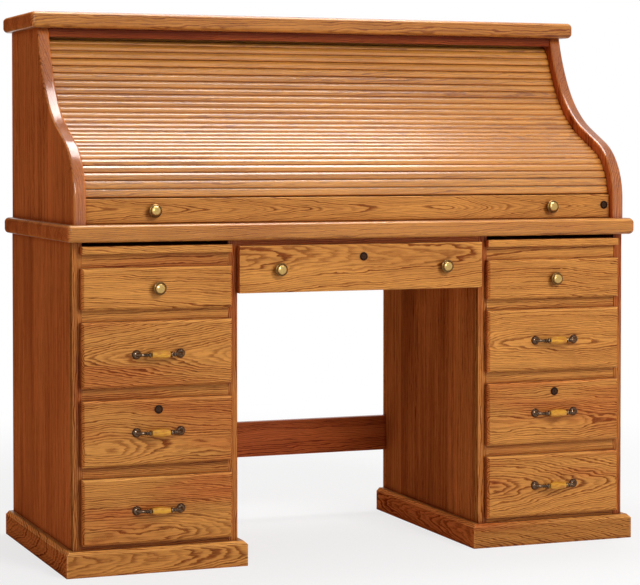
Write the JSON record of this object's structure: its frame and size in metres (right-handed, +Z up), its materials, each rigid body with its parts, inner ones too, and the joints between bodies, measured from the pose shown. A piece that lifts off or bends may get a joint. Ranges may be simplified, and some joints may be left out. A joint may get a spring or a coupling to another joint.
{
  "type": "roll-top desk",
  "caption": "Oak roll-top pedestal desk: S-sided hutch with a folding tambour and pigeonholes, stacked drawers, pencil drawer, pull-out writing boards and key locks.",
  "frame": {"origin": "on the floor under the middle of the desk's outer box", "axes": "+X to the right of someone facing the desk, along its width; +Y to its back; +Z up"},
  "size_m": [1.382, 0.614, 1.239],
  "materials": {
    "oak": "golden oak stain under clear gloss lacquer",
    "drawer_wood": "pale hardwood, satin",
    "antique_brass": "antique brass, lightly polished",
    "antique_bronze": "dark antique bronze, rubbed on the high spots",
    "ceramic": "glossy amber glaze"
  },
  "bodies": {
    "carcass": {"desk_top": "oak", "plinths": "oak", "pedestal_backs": "oak", "back_stretcher": "oak", "apron_rail": "oak", "drawer_runners": "drawer_wood", "left_pedestal_sides": "oak", "right_pedestal_sides": "oak", "left_face_frame": "oak", "right_face_frame": "oak", "hutch_left_side": "oak", "hutch_right_side": "oak", "hutch_top": "oak", "header_rail": "oak", "hutch_back": "oak", "pigeonhole_gallery": "oak"},
    "left_bottom_drawer": {"left_bottom_drawer_front": "oak", "left_bottom_drawer_box": "drawer_wood", "left_bottom_drawer_pull": "antique_bronze"},
    "left_third_drawer": {"left_third_drawer_front": "oak", "left_third_drawer_box": "drawer_wood", "left_third_drawer_pull": "antique_bronze"},
    "left_third_drawer_lock": {"left_third_drawer_lock_plug": "antique_bronze"},
    "left_second_drawer": {"left_second_drawer_front": "oak", "left_second_drawer_box": "drawer_wood", "left_second_drawer_pull": "antique_bronze"},
    "left_top_drawer": {"left_top_drawer_front": "oak", "left_top_drawer_box": "drawer_wood", "left_top_drawer_knob": "antique_brass"},
    "left_writing_board": {"left_writing_board": "oak"},
    "right_bottom_drawer": {"right_bottom_drawer_front": "oak", "right_bottom_drawer_box": "drawer_wood", "right_bottom_drawer_pull": "antique_bronze"},
    "right_third_drawer": {"right_third_drawer_front": "oak", "right_third_drawer_box": "drawer_wood", "right_third_drawer_pull": "antique_bronze"},
    "right_third_drawer_lock": {"right_third_drawer_lock_plug": "antique_bronze"},
    "right_second_drawer": {"right_second_drawer_front": "oak", "right_second_drawer_box": "drawer_wood", "right_second_drawer_pull": "antique_bronze"},
    "right_top_drawer": {"right_top_drawer_front": "oak", "right_top_drawer_box": "drawer_wood", "right_top_drawer_knob": "antique_brass"},
    "right_writing_board": {"right_writing_board": "oak"},
    "pencil_drawer": {"pencil_drawer_front": "oak", "pencil_drawer_box": "drawer_wood", "pencil_drawer_knobs": "antique_brass"},
    "pencil_drawer_lock": {"pencil_drawer_lock_plug": "antique_bronze"},
    "lift_rail": {"lift_rail": "oak", "lift_rail_knobs": "antique_brass"},
    "tambour_group_1": {"tambour_group_1": "oak"},
    "tambour_group_2": {"tambour_group_2": "oak"},
    "tambour_group_3": {"tambour_group_3": "oak"},
    "tambour_group_4": {"tambour_group_4": "oak"},
    "tambour_group_5": {"tambour_group_5": "oak"},
    "tambour_group_6": {"tambour_group_6": "oak"},
    "tambour_group_7": {"tambour_group_7": "oak"},
    "tambour_group_8": {"tambour_group_8": "oak"},
    "tambour_group_9": {"tambour_group_9": "oak"},
    "lift_rail_lock": {"lift_rail_lock_plug": "antique_bronze"}
  },
  "joints": [
    {"name": "left_bottom_drawer_slide", "type": "slide", "parent": "carcass", "child": "left_bottom_drawer", "axis": [0, -1, 0], "range_m": [0, 0.36]},
    {"name": "left_third_drawer_slide", "type": "slide", "parent": "carcass", "child": "left_third_drawer", "axis": [0, -1, 0], "range_m": [0, 0.36]},
    {"name": "left_third_drawer_lock_turn", "type": "hinge", "parent": "left_third_drawer", "child": "left_third_drawer_lock", "pos_m": [-0.483, -0.279, 0.358], "axis": [0, -1, 0], "range_deg": [0, 90]},
    {"name": "left_second_drawer_slide", "type": "slide", "parent": "carcass", "child": "left_second_drawer", "axis": [0, -1, 0], "range_m": [0, 0.36]},
    {"name": "left_top_drawer_slide", "type": "slide", "parent": "carcass", "child": "left_top_drawer", "axis": [0, -1, 0], "range_m": [0, 0.36]},
    {"name": "left_writing_board_slide", "type": "slide", "parent": "carcass", "child": "left_writing_board", "axis": [0, -1, 0], "range_m": [0, 0.34]},
    {"name": "right_bottom_drawer_slide", "type": "slide", "parent": "carcass", "child": "right_bottom_drawer", "axis": [0, -1, 0], "range_m": [0, 0.36]},
    {"name": "right_third_drawer_slide", "type": "slide", "parent": "carcass", "child": "right_third_drawer", "axis": [0, -1, 0], "range_m": [0, 0.36]},
    {"name": "right_third_drawer_lock_turn", "type": "hinge", "parent": "right_third_drawer", "child": "right_third_drawer_lock", "pos_m": [0.483, -0.279, 0.358], "axis": [0, -1, 0], "range_deg": [0, 90]},
    {"name": "right_second_drawer_slide", "type": "slide", "parent": "carcass", "child": "right_second_drawer", "axis": [0, -1, 0], "range_m": [0, 0.36]},
    {"name": "right_top_drawer_slide", "type": "slide", "parent": "carcass", "child": "right_top_drawer", "axis": [0, -1, 0], "range_m": [0, 0.36]},
    {"name": "right_writing_board_slide", "type": "slide", "parent": "carcass", "child": "right_writing_board", "axis": [0, -1, 0], "range_m": [0, 0.34]},
    {"name": "pencil_drawer_slide", "type": "slide", "parent": "carcass", "child": "pencil_drawer", "axis": [0, -1, 0], "range_m": [0, 0.3]},
    {"name": "pencil_drawer_lock_turn", "type": "hinge", "parent": "pencil_drawer", "child": "pencil_drawer_lock", "pos_m": [0, -0.279, 0.683], "axis": [0, -1, 0], "range_deg": [0, 90]},
    {"name": "tambour_roll", "type": "hinge", "parent": "carcass", "child": "tambour_group_4", "pos_m": [0, -0.2518, 1.24964], "axis": [1, 0, 0], "range_deg": [0, 32.37]},
    {"name": "tambour_fold_5", "type": "hinge", "parent": "tambour_group_4", "child": "tambour_group_5", "pos_m": [0, -0.06348, 0.97095], "axis": [1, 0, 0], "range_deg": [-16.39, 0.05]},
    {"name": "tambour_fold_6", "type": "hinge", "parent": "tambour_group_5", "child": "tambour_group_6", "pos_m": [0, -0.00566, 1.02], "axis": [1, 0, 0], "range_deg": [-62.95, 0.05]},
    {"name": "tambour_fold_7", "type": "hinge", "parent": "tambour_group_6", "child": "tambour_group_7", "pos_m": [0, 0.02906, 1.0651], "axis": [1, 0, 0], "range_deg": [-13.25, 0.05]},
    {"name": "tambour_fold_8", "type": "hinge", "parent": "tambour_group_7", "child": "tambour_group_8", "pos_m": [0, 0.04801, 1.09803], "axis": [1, 0, 0], "range_deg": [-4.79, 0.05]},
    {"name": "tambour_fold_9", "type": "hinge", "parent": "tambour_group_8", "child": "tambour_group_9", "pos_m": [0, 0.06418, 1.13241], "axis": [1, 0, 0], "range_deg": [-14.93, 0.05]},
    {"name": "tambour_fold_3", "type": "hinge", "parent": "tambour_group_4", "child": "tambour_group_3", "pos_m": [0, -0.13078, 0.93584], "axis": [1, 0, 0], "range_deg": [-9.05, 0.05]},
    {"name": "tambour_fold_2", "type": "hinge", "parent": "tambour_group_3", "child": "tambour_group_2", "pos_m": [0, -0.18218, 0.91123], "axis": [1, 0, 0], "range_deg": [-29.09, 0.05]},
    {"name": "tambour_fold_1", "type": "hinge", "parent": "tambour_group_2", "child": "tambour_group_1", "pos_m": [0, -0.22262, 0.87183], "axis": [1, 0, 0], "range_deg": [-37.45, 0.05]},
    {"name": "lift_rail_fold", "type": "hinge", "parent": "tambour_group_1", "child": "lift_rail", "pos_m": [0, -0.24056, 0.81829], "axis": [1, 0, 0], "range_deg": [-21.53, 0.05]},
    {"name": "lift_rail_lock_turn", "type": "hinge", "parent": "lift_rail", "child": "lift_rail_lock", "pos_m": [0.6266, -0.253, 0.7931], "axis": [0, -1, 0], "range_deg": [0, 90]}
  ],
  "couplings": [
    {"joint": "tambour_fold_5", "follows": "tambour_roll", "ratio": -0.50496},
    {"joint": "tambour_fold_6", "follows": "tambour_roll", "ratio": -1.9436},
    {"joint": "tambour_fold_7", "follows": "tambour_roll", "ratio": -0.40778},
    {"joint": "tambour_fold_8", "follows": "tambour_roll", "ratio": -0.14636},
    {"joint": "tambour_fold_9", "follows": "tambour_roll", "ratio": -0.45982},
    {"joint": "tambour_fold_3", "follows": "tambour_roll", "ratio": -0.27816},
    {"joint": "tambour_fold_2", "follows": "tambour_roll", "ratio": -0.89728},
    {"joint": "tambour_fold_1", "follows": "tambour_roll", "ratio": -1.1555},
    {"joint": "lift_rail_fold", "follows": "tambour_roll", "ratio": -0.66358}
  ]
}
